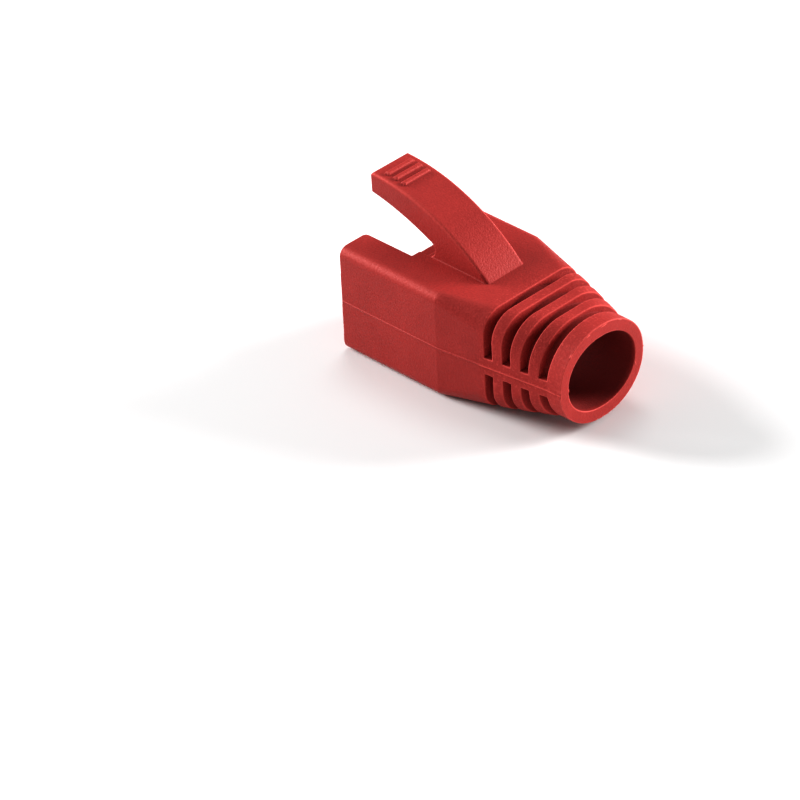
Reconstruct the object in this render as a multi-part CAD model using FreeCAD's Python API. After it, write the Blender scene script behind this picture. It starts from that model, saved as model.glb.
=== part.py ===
import os
import math
import FreeCAD
import Part

# One-piece moulded strain relief boot: +X points to the cable, +Z up, millimetres.
# The origin is the middle of the footprint, on the surface that the boot lies on.

# main body
body_len = 27.1
box_len = 12.6
box_w = 14.4
box_h = 11.3
wall_lean = 0.02
top_corner_r = 0.95
low_corner_r = 1.0
axis_z = 5.5

# grooved neck and its end ring
neck_x = 18.15
neck_corner_r = 2.4
neck_corner_power = 1.2
ring_len = 1.8
ring_half_w = 5.6
ring_half_h = 5.05
ring_rise = 0.45
ring_flat = 0.2

# plug cavity and cable passage
side_wall = 1.3
floor_t = 1.45
roof_t = 1.4
cavity_len = 9.0
cavity_corner_r = 0.45
shoulder_len = 1.1
shoulder_in = 0.22
funnel_len = 5.0
bore_half_w = 4.5
bore_half_h = 3.8
bore_flat = 0.15

# ridge across the floor of the mouth
ridge_set_back = 0.15
ridge_len = 0.95
ridge_h = 1.15
ridge_end_gap = 0.5
ridge_round = 0.35

# latch slot, open at the mouth
slot_w = 7.06
slot_len = 6.15
slot_nose_r = 0.45

# arched arm over the latch, its heights counted from the roof
arm_w = 4.95
arm_tip_x = 0.1
arm_rise = 6.3
arm_tip_h = 2.1
arm_mid_x = 8.0
arm_mid_rise = 4.7
arm_root_x = 15.1
arm_edge_r = 0.3
skirt_t = 0.92
web_t = 0.75
channel_end_x = 10.6
under_mid_x = 4.2
under_mid_rise = 3.15
crotch_x = 8.25
crotch_top_in = 0.7
crotch_top_rise = 1.75
crotch_mid_rise = 1.0
crotch_low_in = 0.95
recess_d = 0.12

# grip bars on the arm
bar_count = 3
bar_first_x = 1.55
bar_pitch = 1.05
bar_w = 0.56
bar_len = 3.45
bar_h = 0.26
bar_edge = 0.12

# grooves in the upper and lower half of the neck
groove_count = 4
groove_pitch = 2.07
groove_w = 0.95
strip_half_h = 0.9
sleeve_front = (5.38, 5.12)
sleeve_back = (4.86, 4.58)

# raised line where the two mould halves met
seam_w = 0.14
seam_h = 0.06
seam_front_x = 0.15
seam_back_gap = 0.6
seam_root = 0.6

# how far a cutting shape runs past the surface that it cuts
past = 1.0

# tolerance for picking edges
near = 0.01

V = FreeCAD.Vector
shift_x = -body_len / 2


def at(x, y, z):
    return V(x + shift_x, y, z)


def quarter(start, corner, end):
    # exact quarter ellipse that leaves start and reaches end along the corner's two sides
    curve = Part.BezierCurve()
    curve.setPoles([start, corner, end])
    curve.setWeight(2, math.sqrt(0.5))
    return curve.toShape()


def outline(x, half_w, low, high, low_c, high_c, lean=0.0):
    # rounded rectangle across the boot, each corner given as a width and a height
    edges = []
    lw, lh = low_c
    hw, hh = high_c
    foot, shin, brow, top = (half_w - lean * (z - axis_z) for z in (low, low + lh, high - hh, high))
    p = [at(x, -foot + lw, low), at(x, foot - lw, low), at(x, shin, low + lh), at(x, brow, high - hh)]
    p += [at(x, top - hw, high), at(x, -top + hw, high), at(x, -brow, high - hh), at(x, -shin, low + lh)]
    edges.append(Part.makeLine(p[0], p[1]))
    edges.append(quarter(p[1], at(x, foot, low), p[2]))
    edges.append(Part.makeLine(p[2], p[3]))
    edges.append(quarter(p[3], at(x, top, high), p[4]))
    edges.append(Part.makeLine(p[4], p[5]))
    edges.append(quarter(p[5], at(x, -top, high), p[6]))
    edges.append(Part.makeLine(p[6], p[7]))
    edges.append(quarter(p[7], at(x, -foot, low), p[0]))
    return Part.Wire(edges)


def block(x0, x1, half_y, z0, z1):
    return Part.makeBox(x1 - x0, 2 * half_y, z1 - z0, at(x0, -half_y, z0))


def side_plate(edges, half_y):
    # a shape drawn on the middle plane and given its width to both sides
    face = Part.Face(Part.Wire(edges))
    face.translate(V(0, -half_y, 0))
    return face.extrude(V(0, 2 * half_y, 0))


def neck_at(x):
    # half width, lowest and highest point of the tapering neck
    ring_x = body_len - ring_len
    k = min(max((x - box_len) / (ring_x - box_len), 0.0), 1.0)
    half_w = box_w / 2 + k * (ring_half_w - box_w / 2)
    low = k * ring_rise
    high = box_h + k * (ring_rise + 2 * ring_half_h - box_h)
    return half_w, low, high


def neck_corner(x):
    # the neck's corners grow until the ring is an oval
    ring_x = body_len - ring_len
    k = min(max((x - neck_x) / (ring_x - neck_x), 0.0), 1.0) ** neck_corner_power
    across = neck_corner_r + k * (ring_half_w - ring_flat - neck_corner_r)
    up = neck_corner_r + k * (ring_half_h - ring_flat - neck_corner_r)
    return across, up


def outer_body(grow=0.0):
    box_low = (low_corner_r, low_corner_r)
    box_high = (top_corner_r, top_corner_r)
    stations = [(0.0, box_low, box_high), (box_len, box_low, box_high)]
    for i in range(groove_count):
        x = neck_x + i * groove_pitch
        stations.append((x, neck_corner(x), neck_corner(x)))
    for x in (body_len - ring_len, body_len):
        stations.append((x, neck_corner(x), neck_corner(x)))
    wires = []
    for x, low_c, high_c in stations:
        half_w, low, high = neck_at(x)
        # the side walls lean inwards towards the roof, less and less along the neck
        lean = wall_lean * (half_w - ring_half_w) / (box_w / 2 - ring_half_w)
        wires.append(outline(x, half_w + grow, low, high, low_c, high_c, lean))
    return Part.makeLoft(wires, True, True)


def cavity():
    # plug space, a small shoulder, a funnel and the oval cable passage
    half_w = box_w / 2 - side_wall
    roof = box_h - roof_t
    c = (cavity_corner_r, cavity_corner_r)
    bore_c = (bore_half_w - bore_flat, bore_half_h - bore_flat)
    shoulder_x = cavity_len + shoulder_len
    funnel_x = shoulder_x + funnel_len
    wires = [outline(-past, half_w, floor_t, roof, c, c)]
    wires.append(outline(cavity_len, half_w, floor_t, roof, c, c))
    wires.append(outline(shoulder_x, half_w - shoulder_in, floor_t, roof - shoulder_in, c, c))
    for x in (funnel_x, body_len + past):
        wires.append(outline(x, bore_half_w, axis_z - bore_half_h, axis_z + bore_half_h, bore_c, bore_c))
    return Part.makeLoft(wires, True, True)


def oval(x, half_w, half_h):
    curve = Part.Ellipse(V(0, 0, 0), half_w, half_h).toShape()
    curve.rotate(V(0, 0, 0), V(1, 1, 1), 120)
    curve.translate(at(x, 0, axis_z))
    return Part.Wire([curve])


def sleeve():
    # the oval cone that stays whole under the grooves, round the cable passage
    return Part.makeLoft([oval(neck_x, *sleeve_front), oval(body_len, *sleeve_back)], True, True)


def grooves():
    core = sleeve()
    cuts = []
    for i in range(groove_count):
        x = neck_x + i * groove_pitch
        upper = block(x, x + groove_w, box_w, axis_z + strip_half_h, 2 * box_h)
        lower = block(x, x + groove_w, box_w, -box_h, axis_z - strip_half_h)
        cuts.append(upper.cut(core))
        cuts.append(lower.cut(core))
    return cuts


def latch_slot():
    # straight slot whose two front corners flare out by a small radius
    half = slot_w / 2
    r = slot_nose_r
    z0 = box_h - roof_t - past
    z1 = box_h + past
    slot = block(-past, slot_len, half, z0, z1)
    flare = block(-past, r, half + r, z0, z1)
    for side in (-1, 1):
        post = Part.makeCylinder(r, z1 - z0, at(r, side * (half + r), z0))
        flare = flare.cut(post)
    return slot.fuse(flare)


def ridge():
    half = box_w / 2 - side_wall - ridge_end_gap
    top = floor_t + ridge_h
    bar = block(ridge_set_back, ridge_set_back + ridge_len, half, floor_t / 2, top)
    tops = [e for e in bar.Edges if e.BoundBox.ZMin > top - near]
    return bar.makeFillet(ridge_round, tops)


def arm_top_arc(drop=0.0):
    # the arm's upper line, or one that runs the given depth below it
    a = V(arm_tip_x, 0, box_h + arm_rise)
    m = V(arm_mid_x, 0, box_h + arm_mid_rise)
    b = V(arm_root_x, 0, neck_at(arm_root_x)[2])
    full = Part.Circle(a, m, b)
    return full.Center, full.Radius - drop


def arc_point(centre, radius, x):
    return centre.z + math.sqrt(radius ** 2 - (x - centre.x) ** 2)


def arm():
    centre, radius = arm_top_arc()
    mid_x = (arm_tip_x + arm_root_x) / 2
    tip_z = box_h + arm_rise
    inside_z = box_h - roof_t / 2
    floor_z = box_h - recess_d
    mid_z = box_h + crotch_mid_rise
    low_x = crotch_x - crotch_low_in
    tip_top = at(arm_tip_x, 0, tip_z)
    tip_low = at(arm_tip_x, 0, tip_z - arm_tip_h)
    top_mid = at(mid_x, 0, arc_point(centre, radius, mid_x))
    root = at(arm_root_x, 0, arc_point(centre, radius, arm_root_x))
    root_in = at(arm_root_x, 0, inside_z)
    heel_in = at(low_x, 0, inside_z)
    crotch_low = at(low_x, 0, floor_z)
    crotch_mid = at(crotch_x, 0, mid_z)
    crotch_top = at(crotch_x - crotch_top_in, 0, box_h + crotch_top_rise)
    bend = 1 - math.sqrt(0.5)
    lower_bend = at(crotch_x - crotch_low_in * bend, 0, floor_z + (mid_z - floor_z) * bend)
    upper_bend = at(crotch_x - crotch_top_in * bend * 2 / 3, 0, (crotch_mid.z + crotch_top.z) / 2)
    under = at(under_mid_x, 0, box_h + under_mid_rise)
    edges = [Part.Arc(tip_top, top_mid, root).toShape()]
    edges.append(Part.makeLine(root, root_in))
    edges.append(Part.makeLine(root_in, heel_in))
    edges.append(Part.makeLine(heel_in, crotch_low))
    edges.append(Part.Arc(crotch_low, lower_bend, crotch_mid).toShape())
    edges.append(Part.Arc(crotch_mid, upper_bend, crotch_top).toShape())
    edges.append(Part.Arc(crotch_top, under, tip_low).toShape())
    edges.append(Part.makeLine(tip_low, tip_top))
    plate = side_plate(edges, arm_w / 2)
    rounded = []
    for e in plate.Edges:
        b = e.BoundBox
        along = b.XLength > arm_root_x / 2 and b.ZMax > tip_z - near
        across = b.YLength > arm_w - near and b.ZMin > tip_z - near
        if along or across:
            rounded.append(e)
    return plate.makeFillet(arm_edge_r, rounded)


def arm_channel():
    # hollow between the two skirts, open below and at the tip
    centre, radius = arm_top_arc(web_t)
    x0, x1 = arm_tip_x - past, channel_end_x
    xm = (x0 + x1) / 2
    floor_z = box_h - recess_d
    a = at(x0, 0, arc_point(centre, radius, x0))
    m = at(xm, 0, arc_point(centre, radius, xm))
    b = at(x1, 0, arc_point(centre, radius, x1))
    edges = [Part.Arc(a, m, b).toShape()]
    edges.append(Part.makeLine(b, at(x1, 0, floor_z)))
    edges.append(Part.makeLine(at(x1, 0, floor_z), at(x0, 0, floor_z)))
    edges.append(Part.makeLine(at(x0, 0, floor_z), a))
    return side_plate(edges, arm_w / 2 - skirt_t)


def recess():
    # the roof is a little lower under the arm, back to the crotch
    return block(slot_len - past, crotch_x - crotch_low_in, arm_w / 2, box_h - recess_d, box_h + past)


def grip_bars():
    # low bars across the arm with broken edges
    centre, radius = arm_top_arc()
    bars = []
    for i in range(bar_count):
        x = bar_first_x + i * bar_pitch
        z = arc_point(centre, radius, x)
        slope = math.degrees(math.asin((x - centre.x) / radius))
        bar = Part.makeBox(bar_w, bar_len, bar_h + web_t / 2, V(-bar_w / 2, -bar_len / 2, -web_t / 2))
        tops = [e for e in bar.Edges if e.BoundBox.ZMin > bar_h - near]
        bar = bar.makeChamfer(bar_edge, tops)
        bar.rotate(V(0, 0, 0), V(0, 1, 0), slope)
        bar.translate(at(x, 0, z))
        bars.append(bar)
    return bars


def seam():
    # thin raised line on both sides, cut from a slightly fatter copy of the body
    fat = outer_body(seam_h)
    x1 = body_len - seam_back_gap
    slab = block(seam_front_x, x1, box_w, axis_z - seam_w / 2, axis_z + seam_w / 2)
    inner = block(-past, body_len, ring_half_w - seam_root, -past, 2 * box_h)
    return fat.common(slab).cut(inner)


def boot():
    body = outer_body().cut(grooves())
    body = body.fuse(seam())
    body = body.cut([latch_slot(), recess()])
    guard = arm().cut(arm_channel())
    guard = guard.fuse(grip_bars())
    body = body.fuse(guard)
    body = body.cut(cavity())
    body = body.fuse(ridge())
    return body.removeSplitter()


def main():
    os.makedirs("parts", exist_ok=True)
    shape = boot()
    solid = shape.Solids[0] if len(shape.Solids) == 1 else shape
    print("solids", len(shape.Solids), "valid", shape.isValid(), "volume", round(shape.Volume, 1))
    print("box", shape.BoundBox)
    solid.exportStep("parts/boot.step")


main()
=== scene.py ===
import math
import bmesh
import bpy
from mathutils import Matrix, Vector, bvhtree, kdtree


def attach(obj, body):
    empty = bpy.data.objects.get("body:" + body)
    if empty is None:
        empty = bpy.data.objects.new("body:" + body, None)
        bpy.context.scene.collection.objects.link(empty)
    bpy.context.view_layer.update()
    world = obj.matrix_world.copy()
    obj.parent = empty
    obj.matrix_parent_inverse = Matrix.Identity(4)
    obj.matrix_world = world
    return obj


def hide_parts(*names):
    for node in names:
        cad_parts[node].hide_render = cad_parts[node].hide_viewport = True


# A soft red moulded boot on a pale floor. Metres, in the part's own frame.
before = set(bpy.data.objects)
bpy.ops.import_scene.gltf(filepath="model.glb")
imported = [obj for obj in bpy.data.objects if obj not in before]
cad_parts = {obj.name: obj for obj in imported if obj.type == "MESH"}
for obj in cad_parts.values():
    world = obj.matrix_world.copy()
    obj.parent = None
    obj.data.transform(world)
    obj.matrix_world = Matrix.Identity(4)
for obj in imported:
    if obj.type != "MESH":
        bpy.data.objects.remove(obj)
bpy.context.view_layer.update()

MM = 0.001
scene = bpy.context.scene

# camera: the photograph's viewing angle and frame
CAMERA_AT = Vector((281.96, -275.98, 262.51)) * MM
CAMERA_LOOK = Vector((-0.60686, 0.56572, -0.55829))
CAMERA_ROLL = math.radians(-3.752)
FOCAL_LENGTH = 225.0
SENSOR_WIDTH = 36.0

# studio light: a dim white surround and soft lights (azimuth from +X and elevation in degrees, watts)
SOFTBOXES = (
    ("softbox_right", 60, 15, 19.4),
    ("softbox_left", 201, 23, 16.6),
    ("softbox_top", 130, 65, 2.5),
)
LIT_POINT = Vector((0, 0, 6)) * MM
SOFTBOX_SIZE = 0.49
SOFTBOX_AWAY = 1.0
SKY_STRENGTH = 0.32
PICTURE_GAMMA = 0.77
FLOOR_GREY = (0.80, 0.80, 0.80, 1.0)
FLOOR_SIZE = 3.0
FLOOR_GAP = 0.01 * MM

# moulded plastic: its two mottle reds, a lighter red for specks and painted highlights, a dark red for
# painted shade, and gloss, then the noises that mottle and roughen it
RED_LIGHT = (0.420, 0.0445, 0.0390)
RED_DARK = (0.310, 0.0310, 0.0275)
# lighter red shared by the random specks and the painted highlights on rims, seam crest, flecks and roundings
RED_SPECK_AND_HIGHLIGHT = (0.66, 0.095, 0.082)
# dark red for the painted shade in inner corners, groove floors and the passage
RED_PAINTED_SHADE = (0.13, 0.013, 0.012)
GLOSS_TINT = (1.0, 0.28, 0.26, 1.0)
IOR = 1.5
GLOSS_LEVEL = 0.5
ROUGH = 0.50
ROUGH_SPREAD = 0.05
COARSE_DULL = 0.5
CLOUD_SCALE = 260.0
CLOUD_SHARE = 0.4
GRAIN_SCALE = 5200.0
GRAIN_SHARE = 0.6
GRAIN_BUMP = 0.06 * MM
GRAIN_STRENGTH = 0.6
SPECK_SCALE = 3600.0
SPECK_RANGE = (0.54, 0.70)
SPECK_AMOUNT = 0.45
SPECK_BUMP = 0.025 * MM
NOISE_RANGE = (0.3, 0.7)

# what counts as a sharp edge of the CAD solid, and how closely points are laid along it
SHARP_ANGLE = math.radians(30)
EDGE_STEP = 0.04 * MM
WELD = 0.001 * MM

# painted highlights: their reach from an outer edge, and their strength by place (rims, seam crest, flecks of
# flash, long roundings)
RIM_REACH = 0.17 * MM
RIM_ON_NECK = 0.85
RIM_ON_BOX = 0.30
RIM_ON_BARS = 0.35
SEAM_ON_NECK = 1.0
SEAM_ON_BOX = 0.12
FLECK_FULL = 0.04 * MM
ROUND_ON_ARM = 0.75
ROUND_ON_BOX = 0.25
ARM_ROUND_Y = 2.1 * MM
BOX_ROUND_Y = 5.3 * MM
ROOF_Z = 11.9 * MM

# painted shade in the inner corners, which are also pulled back to their crisp shape
CORNER_REACH = 0.20 * MM
CORNER_SHADE_AMOUNT = 0.7
ARM_CORNER_SHADE = 0.15
ARM_FOOT_Z = 10.8 * MM
BARS_CRISP = 0.7

# the oval cone under the grooves (half width and half height at its ends) and the passage get painted shade
SLEEVE_FROM_X = 4.6 * MM
SLEEVE_TO_X = 11.75 * MM
SLEEVE_FRONT = (5.38 * MM, 5.12 * MM)
SLEEVE_BACK = (4.86 * MM, 4.58 * MM)
FACE_X = 13.50 * MM
MOUTH_DEPTH = 0.6 * MM
PASSAGE_X = 1.6 * MM
PASSAGE_FADE = 4.0 * MM
PASSAGE_RATIO = 0.96
DEEP_RATIO = (1.01, 1.05)
INSIDE_SHADE_AMOUNT = 0.7
COARSE_FADE = 0.04
COARSE_LEAD = 1.0 * MM
COARSE_END = 0.2 * MM

# where cuts are made across the passage, as shares of the two fades there
MOUTH_CUTS = (0.1, 0.3, 0.5, 0.7, 1.0)
PASSAGE_CUTS = (0.0, 0.17, 0.33, 0.5, 0.67, 0.83, 1.0)

# skin mesh: fine enough for the edges to come out softly rounded
VOXEL = 0.068 * MM
ROUNDING_PASSES = 4
SKIN_TRIANGLES = 140000

# raised line where the mould halves met, lower on the plug box than on the neck
SEAM_Z = 5.5 * MM
SEAM_HALF_W = 0.09 * MM
SEAM_RISE_BOX = 0.020 * MM
SEAM_RISE_NECK = 0.07 * MM
SEAM_FRONT_X = -13.4 * MM
NECK_X = 0.0 * MM
BARS_Z = 16.0 * MM
RIM_LEAD = 3.5

# flecks of flash on the rims: place, the way each one runs, half length and rise, all in mm
FLECKS = (
    ((13.50, 0.40, 10.33), (0.0, 1.0, 0.05), 0.45, 0.09),
    ((13.50, -1.70, 10.18), (0.0, 1.0, 0.20), 0.30, 0.08),
    ((13.50, 2.55, 9.91), (0.0, 1.0, -0.45), 0.30, 0.07),
    ((13.50, -4.03, 9.10), (0.0, 0.6, 0.80), 0.18, 0.06),
    ((13.50, 4.45, 4.10), (0.0, -0.2, 1.00), 0.25, 0.08),
    ((13.50, -4.50, 5.60), (0.0, 0.1, 1.00), 0.25, 0.09),
    ((13.50, -3.20, 2.90), (0.0, 1.0, -0.80), 0.30, 0.08),
    ((11.45, 2.60, 10.10), (0.0, 1.0, -0.30), 0.22, 0.07),
    ((-13.50, 5.90, 5.60), (0.0, 0.0, 1.00), 0.25, 0.07),
    ((-13.50, -5.90, 5.60), (0.0, 0.0, 1.00), 0.25, 0.07),
)
FLECK_HALF_W_MM = 0.09
FLECK_GRID = 0.07 * MM
FLECK_ROUNDS = 5

# cratered dot that the gate left on the far side of the neck
GATE_AT = Vector((10.51, 5.72, 5.04)) * MM
GATE_R = 0.36 * MM
GATE_DEPTH = 0.09 * MM
GATE_LIP = 0.04 * MM
GATE_LIP_SPREAD = 0.4
GATE_PIT_SPREAD = 1.1


def set_inputs(node, **values):
    for name, value in values.items():
        node.inputs[name.replace("_", " ")].default_value = value


def ramp(nodes, low, high, low_at, high_at):
    node = nodes.new("ShaderNodeValToRGB")
    for stop, colour, place in zip(node.color_ramp.elements, (low, high), (low_at, high_at)):
        stop.color = (*colour, 1)
        stop.position = place
    return node


def map_range(nodes, from_low, from_high, to_low, to_high):
    node = nodes.new("ShaderNodeMapRange")
    node.interpolation_type = "SMOOTHSTEP"
    set_inputs(node, From_Min=from_low, From_Max=from_high, To_Min=to_low, To_Max=to_high)
    return node


def noise(nodes, links, place, scale, detail):
    node = nodes.new("ShaderNodeTexNoise")
    set_inputs(node, Scale=scale, Detail=detail, Roughness=0.6)
    links.new(place.outputs["Object"], node.inputs["Vector"])
    return node


def math_node(nodes, links, operation, a, b):
    node = nodes.new("ShaderNodeMath")
    node.operation = operation
    for socket, value in zip(node.inputs, (a, b)):
        if isinstance(value, float):
            socket.default_value = value
        else:
            links.new(value, socket)
    return node.outputs["Value"]


def tinted(nodes, links, amount, below, colour):
    node = nodes.new("ShaderNodeMix")
    node.data_type = "RGBA"
    node.inputs["B"].default_value = (*colour, 1)
    links.new(amount, node.inputs["Factor"])
    links.new(below, node.inputs["A"])
    return node.outputs["Result"]


def boot_material():
    mat = bpy.data.materials.new("moulded_red")
    mat.use_nodes = True
    nodes, links = mat.node_tree.nodes, mat.node_tree.links
    shader = nodes["Principled BSDF"]
    set_inputs(shader, IOR=IOR, Specular_IOR_Level=GLOSS_LEVEL, Specular_Tint=GLOSS_TINT)
    place = nodes.new("ShaderNodeTexCoord")
    cloud = noise(nodes, links, place, CLOUD_SCALE, 4.0)
    grain = noise(nodes, links, place, GRAIN_SCALE, 2.0)
    speck = noise(nodes, links, place, SPECK_SCALE, 3.0)

    # marks that the mesh carries: coarse outside of the neck, painted highlights on rims and ridges, painted
    # shade in inner corners, groove floors and passage
    marks = {}
    for name in ("coarse", "painted_highlight", "painted_shade"):
        attribute = nodes.new("ShaderNodeAttribute")
        attribute.attribute_name = name
        marks[name] = attribute.outputs["Fac"]

    # mottled red, with sparse lighter specks on the neck
    clouds = math_node(nodes, links, "MULTIPLY", cloud.outputs["Fac"], CLOUD_SHARE)
    grains = math_node(nodes, links, "MULTIPLY", grain.outputs["Fac"], GRAIN_SHARE)
    tone = ramp(nodes, RED_DARK, RED_LIGHT, *NOISE_RANGE)
    links.new(math_node(nodes, links, "ADD", clouds, grains), tone.inputs["Fac"])
    specks = map_range(nodes, *SPECK_RANGE, 0.0, SPECK_AMOUNT)
    links.new(speck.outputs["Fac"], specks.inputs["Value"])
    speckle = math_node(nodes, links, "MULTIPLY", specks.outputs["Result"], marks["coarse"])
    colour = tinted(nodes, links, speckle, tone.outputs["Color"], RED_SPECK_AND_HIGHLIGHT)

    # painted shade in inner corners, groove floors and the passage, then painted highlights on rims and
    # ridges
    colour = tinted(nodes, links, marks["painted_shade"], colour, RED_PAINTED_SHADE)
    colour = tinted(nodes, links, marks["painted_highlight"], colour, RED_SPECK_AND_HIGHLIGHT)
    links.new(colour, shader.inputs["Base Color"])

    # duller in the depths and where the mould is coarse
    rough = map_range(nodes, *NOISE_RANGE, ROUGH - ROUGH_SPREAD, ROUGH + ROUGH_SPREAD)
    links.new(grain.outputs["Fac"], rough.inputs["Value"])
    dull = nodes.new("ShaderNodeMix")
    dull.data_type = "FLOAT"
    dull.inputs["B"].default_value = 1.0
    coarse_dull = math_node(nodes, links, "MULTIPLY", marks["coarse"], COARSE_DULL)
    links.new(math_node(nodes, links, "MAXIMUM", marks["painted_shade"], coarse_dull), dull.inputs["Factor"])
    links.new(rough.outputs["Result"], dull.inputs["A"])
    links.new(dull.outputs["Result"], shader.inputs["Roughness"])

    # fine grain everywhere, and coarser relief on the neck
    bump = nodes.new("ShaderNodeBump")
    set_inputs(bump, Strength=GRAIN_STRENGTH, Distance=GRAIN_BUMP)
    links.new(grain.outputs["Fac"], bump.inputs["Height"])
    coarse = nodes.new("ShaderNodeBump")
    set_inputs(coarse, Distance=SPECK_BUMP)
    links.new(speck.outputs["Fac"], coarse.inputs["Height"])
    links.new(marks["coarse"], coarse.inputs["Strength"])
    links.new(bump.outputs["Normal"], coarse.inputs["Normal"])
    links.new(coarse.outputs["Normal"], shader.inputs["Normal"])
    return mat


def floor_material():
    mat = bpy.data.materials.new("pale_floor")
    mat.use_nodes = True
    shader = mat.node_tree.nodes["Principled BSDF"]
    set_inputs(shader, Base_Color=FLOOR_GREY, Roughness=0.9)
    return mat


def floor():
    # a hair below the part's flat bottom, so the two don't lie in one plane
    mesh = bpy.data.meshes.new("floor")
    h, z = FLOOR_SIZE / 2, -FLOOR_GAP
    mesh.from_pydata([(-h, -h, z), (h, -h, z), (h, h, z), (-h, h, z)], [], [(0, 1, 2, 3)])
    obj = bpy.data.objects.new("floor", mesh)
    obj.data.materials.append(floor_material())
    scene.collection.objects.link(obj)


def softbox(name, azimuth, elevation, power):
    # a round soft light, turned to the part; angles in degrees, +X is azimuth 0
    turn, lift = math.radians(azimuth), math.radians(elevation)
    away = Vector((math.cos(lift) * math.cos(turn), math.cos(lift) * math.sin(turn), math.sin(lift)))
    data = bpy.data.lights.new(name, "AREA")
    data.shape = "DISK"
    data.size = SOFTBOX_SIZE
    data.energy = power
    obj = bpy.data.objects.new(name, data)
    obj.location = LIT_POINT + away * SOFTBOX_AWAY
    obj.rotation_mode = "QUATERNION"
    obj.rotation_quaternion = (-away).to_track_quat("-Z", "Y")
    scene.collection.objects.link(obj)


def lights():
    world = bpy.data.worlds.new("studio")
    world.use_nodes = True
    sky = world.node_tree.nodes["Background"]
    set_inputs(sky, Color=(1.0, 1.0, 1.0, 1.0), Strength=SKY_STRENGTH)
    scene.world = world
    for name, azimuth, elevation, power in SOFTBOXES:
        softbox(name, azimuth, elevation, power)


def camera():
    data = bpy.data.cameras.new("camera")
    data.lens = FOCAL_LENGTH
    data.sensor_width = SENSOR_WIDTH
    data.clip_start = 0.01
    data.clip_end = 10.0
    obj = bpy.data.objects.new("camera", data)
    obj.location = CAMERA_AT
    obj.rotation_mode = "QUATERNION"
    upright = CAMERA_LOOK.to_track_quat("-Z", "Y")
    roll = Matrix.Rotation(CAMERA_ROLL, 3, "Z").to_quaternion()
    obj.rotation_quaternion = upright @ roll
    scene.collection.objects.link(obj)
    scene.camera = obj


def apply_modifiers(obj):
    graph = bpy.context.evaluated_depsgraph_get()
    done = bpy.data.meshes.new_from_object(obj.evaluated_get(graph))
    obj.modifiers.clear()
    obj.data = done


def crosses(face, axis, place):
    ends = [vert.co[axis] for vert in face.verts]
    return min(ends) < place < max(ends)


def in_passage(face):
    return max(neck_ratio(vert.co) for vert in face.verts) < PASSAGE_RATIO


def cut_rows(mesh):
    # rows of vertices at the foot and crest of the seam line and inside the passage
    rows = [(2, z) for z in (SEAM_Z - SEAM_HALF_W, SEAM_Z, SEAM_Z + SEAM_HALF_W)]
    rows += [(0, FACE_X - MOUTH_DEPTH * share) for share in MOUTH_CUTS]
    rows += [(0, PASSAGE_X + PASSAGE_FADE * share) for share in PASSAGE_CUTS]
    bm = bmesh.new()
    bm.from_mesh(mesh)
    for axis, place in rows:
        faces = [f for f in bm.faces if crosses(f, axis, place) and (axis == 2 or in_passage(f))]
        edges = list({e for f in faces for e in f.edges})
        verts = list({v for f in faces for v in f.verts})
        at, normal = Vector(), Vector()
        at[axis], normal[axis] = place, 1
        bmesh.ops.bisect_plane(bm, geom=faces + edges + verts, plane_co=at, plane_no=normal)
    bmesh.ops.triangulate(bm, faces=[f for f in bm.faces if len(f.verts) > 3])
    bm.normal_update()
    bm.to_mesh(mesh)
    bm.free()


def refine_at_flecks(mesh):
    # the flecks need smaller triangles than the flat face round them
    bm = bmesh.new()
    bm.from_mesh(mesh)
    places = [(Vector(place) * MM, (half_len + 3 * FLECK_HALF_W_MM) * MM) for place, _, half_len, _ in FLECKS]
    for _ in range(FLECK_ROUNDS):
        long_edges = []
        for edge in bm.edges:
            a, b = (v.co for v in edge.verts)
            if (a - b).length > FLECK_GRID and any(distance_to(p, a, b) < reach for p, reach in places):
                long_edges.append(edge)
        bmesh.ops.subdivide_edges(bm, edges=long_edges, cuts=1)
        bmesh.ops.triangulate(bm, faces=[f for f in bm.faces if len(f.verts) > 3])
    bm.normal_update()
    bm.to_mesh(mesh)
    bm.free()


def distance_to(point, a, b):
    span = b - a
    t = min(1.0, max(0.0, (point - a).dot(span) / max(span.length_squared, 1e-18)))
    return (point - a - t * span).length


def smooth_step(t):
    t = min(1.0, max(0.0, t))
    return t * t * (3 - 2 * t)


def seam_rise(at, normal):
    if normal.y * at.y <= 0.5 * abs(at.y) or at.x < SEAM_FRONT_X:
        return 0.0
    across = 1 - abs(at.z - SEAM_Z) / SEAM_HALF_W
    along = smooth_step((at.x - NECK_X) / MM + 0.5)
    return max(0.0, across) * (SEAM_RISE_BOX + along * (SEAM_RISE_NECK - SEAM_RISE_BOX))


def fleck_rise(at):
    rise = 0.0
    for place, run, half_len, high in FLECKS:
        off = at / MM - Vector(place)
        if off.length > half_len + FLECK_HALF_W_MM:
            continue
        run = Vector(run).normalized()
        along = off.dot(run)
        across = (off - along * run).length
        bump = max(0.0, 1 - (along / half_len) ** 2) * max(0.0, 1 - (across / FLECK_HALF_W_MM) ** 2)
        rise = max(rise, high * MM * bump)
    return rise


def gate_rise(at):
    r = (at - GATE_AT).length / GATE_R
    if r > 1 + GATE_LIP_SPREAD:
        return 0.0
    lip = max(0.0, 1 - abs(r - 1) / GATE_LIP_SPREAD)
    return GATE_LIP * lip - GATE_DEPTH * smooth_step(GATE_PIT_SPREAD - r)


def raise_moulding_marks(mesh):
    moves = []
    for vert in mesh.vertices:
        at, normal = vert.co, vert.normal
        rise = seam_rise(at, normal) + fleck_rise(at) + gate_rise(at)
        if rise:
            moves.append((vert, at + normal * rise))
    for vert, place in moves:
        vert.co = place
    mesh.update()


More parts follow.
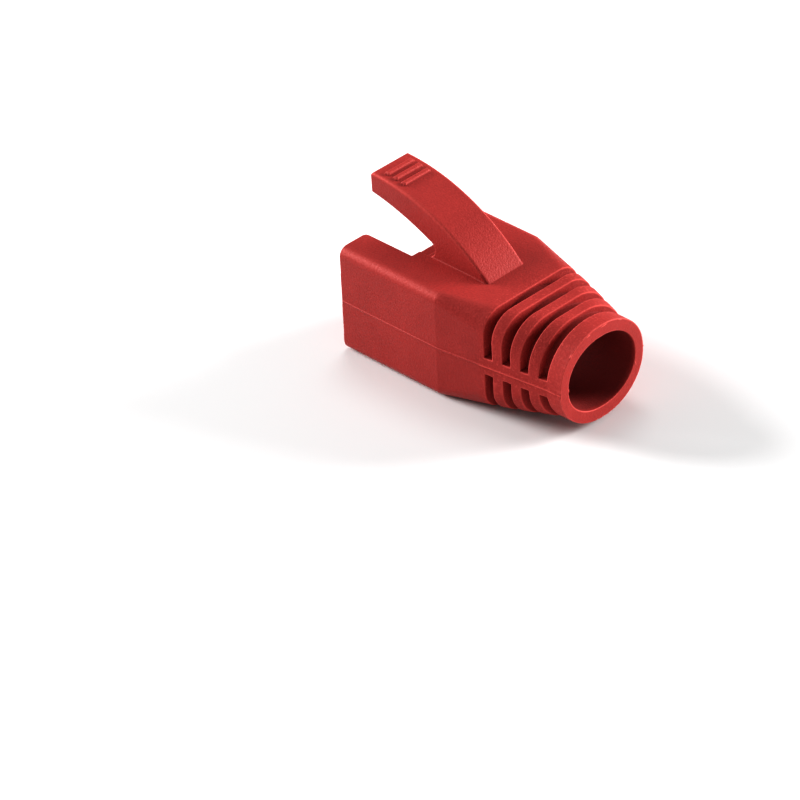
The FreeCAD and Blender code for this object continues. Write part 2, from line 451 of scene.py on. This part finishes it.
def edge_points(mesh, outer):
    # points along the sharp outer or inner edges of the CAD solid
    bm = bmesh.new()
    bm.from_mesh(mesh)
    bmesh.ops.remove_doubles(bm, verts=bm.verts, dist=WELD)
    points = []
    for edge in bm.edges:
        if len(edge.link_faces) != 2 or edge.calc_face_angle() < SHARP_ANGLE or edge.is_convex != outer:
            continue
        start, end = (v.co.copy() for v in edge.verts)
        count = max(1, round((end - start).length / EDGE_STEP))
        points += [start.lerp(end, i / count) for i in range(count + 1)]
    bm.free()
    tree = kdtree.KDTree(len(points))
    for i, point in enumerate(points):
        tree.insert(point, i)
    tree.balance()
    return tree


def neck_ratio(at):
    # how far a point lies from the neck's axis, as a share of the grooves' floor there
    t = min(1.0, max(0.0, (at.x - SLEEVE_FROM_X) / (SLEEVE_TO_X - SLEEVE_FROM_X)))
    half_w, half_h = (a + t * (b - a) for a, b in zip(SLEEVE_FRONT, SLEEVE_BACK))
    return math.hypot(at.y / half_w, (at.z - SEAM_Z) / half_h)


def on_seam(at, normal):
    return abs(at.z - SEAM_Z) < SEAM_HALF_W * 3 and normal.y * at.y > 0.5 * abs(at.y)


def highlight_mark(at, normal, reach):
    # painted highlight: lighter colour on outer rims, the seam crest, the flecks of flash and the long
    # roundings
    along = smooth_step((at.x - NECK_X) / MM - RIM_LEAD)
    if on_seam(at, normal):
        crest = max(0.0, 1 - abs(at.z - SEAM_Z) / SEAM_HALF_W)
        return crest * (SEAM_ON_BOX + along * (SEAM_ON_NECK - SEAM_ON_BOX))
    amount = RIM_ON_BOX + along * (RIM_ON_NECK - RIM_ON_BOX)
    if at.z > BARS_Z:
        amount = RIM_ON_BARS
    near = 1 - smooth_step(reach / RIM_REACH)
    return max(near * amount, rounding_highlight(at, normal), min(1.0, fleck_rise(at) / FLECK_FULL))


def rounding_highlight(at, normal):
    # painted highlight along the long roundings on the top of the box and the arm
    if normal.z <= 0:
        return 0.0
    between = min(1.0, 2 * abs(normal.y * normal.z))
    if at.z > ROOF_Z and abs(at.y) > ARM_ROUND_Y:
        return between * ROUND_ON_ARM
    if at.z < ROOF_Z and abs(at.y) > BOX_ROUND_Y:
        return between ** 2 * ROUND_ON_BOX * smooth_step((NECK_X - at.x) / MM)
    return 0.0


def shade_mark(at, normal, reach):
    # painted shade: darker in inner corners, and in the groove floors and passage, fading out at the mouth
    amount = ARM_CORNER_SHADE if ARM_FOOT_Z < at.z < BARS_Z else CORNER_SHADE_AMOUNT
    corner = 0.0 if on_seam(at, normal) else amount * (1 - smooth_step(reach / CORNER_REACH))
    ratio = neck_ratio(at)
    if ratio < PASSAGE_RATIO:
        inside = smooth_step((at.x - PASSAGE_X) / PASSAGE_FADE)
    elif at.x > SLEEVE_FROM_X - MM:
        inside = smooth_step((DEEP_RATIO[1] - ratio) / (DEEP_RATIO[1] - DEEP_RATIO[0]))
    else:
        inside = 0.0
    mouth = smooth_step((FACE_X - at.x) / MOUTH_DEPTH)
    return max(corner, INSIDE_SHADE_AMOUNT * inside * mouth)


def coarse_mark(at):
    outside = smooth_step((neck_ratio(at) - DEEP_RATIO[1]) / COARSE_FADE)
    along = smooth_step((at.x - SLEEVE_FROM_X + COARSE_LEAD) / COARSE_LEAD)
    return outside * along * smooth_step((FACE_X - at.x) / COARSE_END)


def mark_edges(mesh, source):
    # marks for the material (painted highlights, painted shade, coarse), and inner corners and grip bars back
    # to their crisp shape
    outer, inner = edge_points(source, True), edge_points(source, False)
    solid = bmesh.new()
    solid.from_mesh(source)
    surface = bvhtree.BVHTree.FromBMesh(solid)
    solid.free()
    values = {"painted_highlight": [], "painted_shade": [], "coarse": []}
    places = []
    for vert in mesh.vertices:
        at = vert.co
        to_outer, to_inner = outer.find(at)[2], inner.find(at)[2]
        values["painted_highlight"].append(highlight_mark(at, vert.normal, to_outer))
        values["painted_shade"].append(shade_mark(at, vert.normal, to_inner))
        values["coarse"].append(coarse_mark(at))
        crisp = 1 - smooth_step(to_inner / CORNER_REACH)
        if at.z > BARS_Z:
            crisp = max(crisp, BARS_CRISP)
        places.append(at.lerp(surface.find_nearest(at)[0], crisp) if crisp > 0 else at.copy())
    for name, amounts in values.items():
        mesh.attributes.new(name, "FLOAT", "POINT").data.foreach_set("value", amounts)
    for vert, place in zip(mesh.vertices, places):
        vert.co = place
    mesh.update()


def skin():
    # the moulding's surface, with every edge slightly rounded as the mould leaves it
    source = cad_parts["boot"].data
    obj = bpy.data.objects.new("boot_skin", source.copy())
    scene.collection.objects.link(obj)
    remesh = obj.modifiers.new("remesh", "REMESH")
    remesh.mode = "VOXEL"
    remesh.voxel_size = VOXEL
    smooth = obj.modifiers.new("smooth", "SMOOTH")
    smooth.factor = 0.5
    smooth.iterations = ROUNDING_PASSES
    apply_modifiers(obj)
    triangles = sum(len(face.vertices) - 2 for face in obj.data.polygons)
    thin = obj.modifiers.new("thin", "DECIMATE")
    thin.ratio = min(1.0, SKIN_TRIANGLES / triangles)
    apply_modifiers(obj)
    cut_rows(obj.data)
    refine_at_flecks(obj.data)
    obj.data.validate()
    mark_edges(obj.data, source)
    raise_moulding_marks(obj.data)
    obj.data.shade_smooth()
    obj.data.materials.clear()
    obj.data.materials.append(boot_material())
    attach(obj, "root")
    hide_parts("boot")


def main():
    skin()
    floor()
    lights()
    camera()
    scene.view_settings.view_transform = "Standard"
    scene.view_settings.gamma = PICTURE_GAMMA


main()
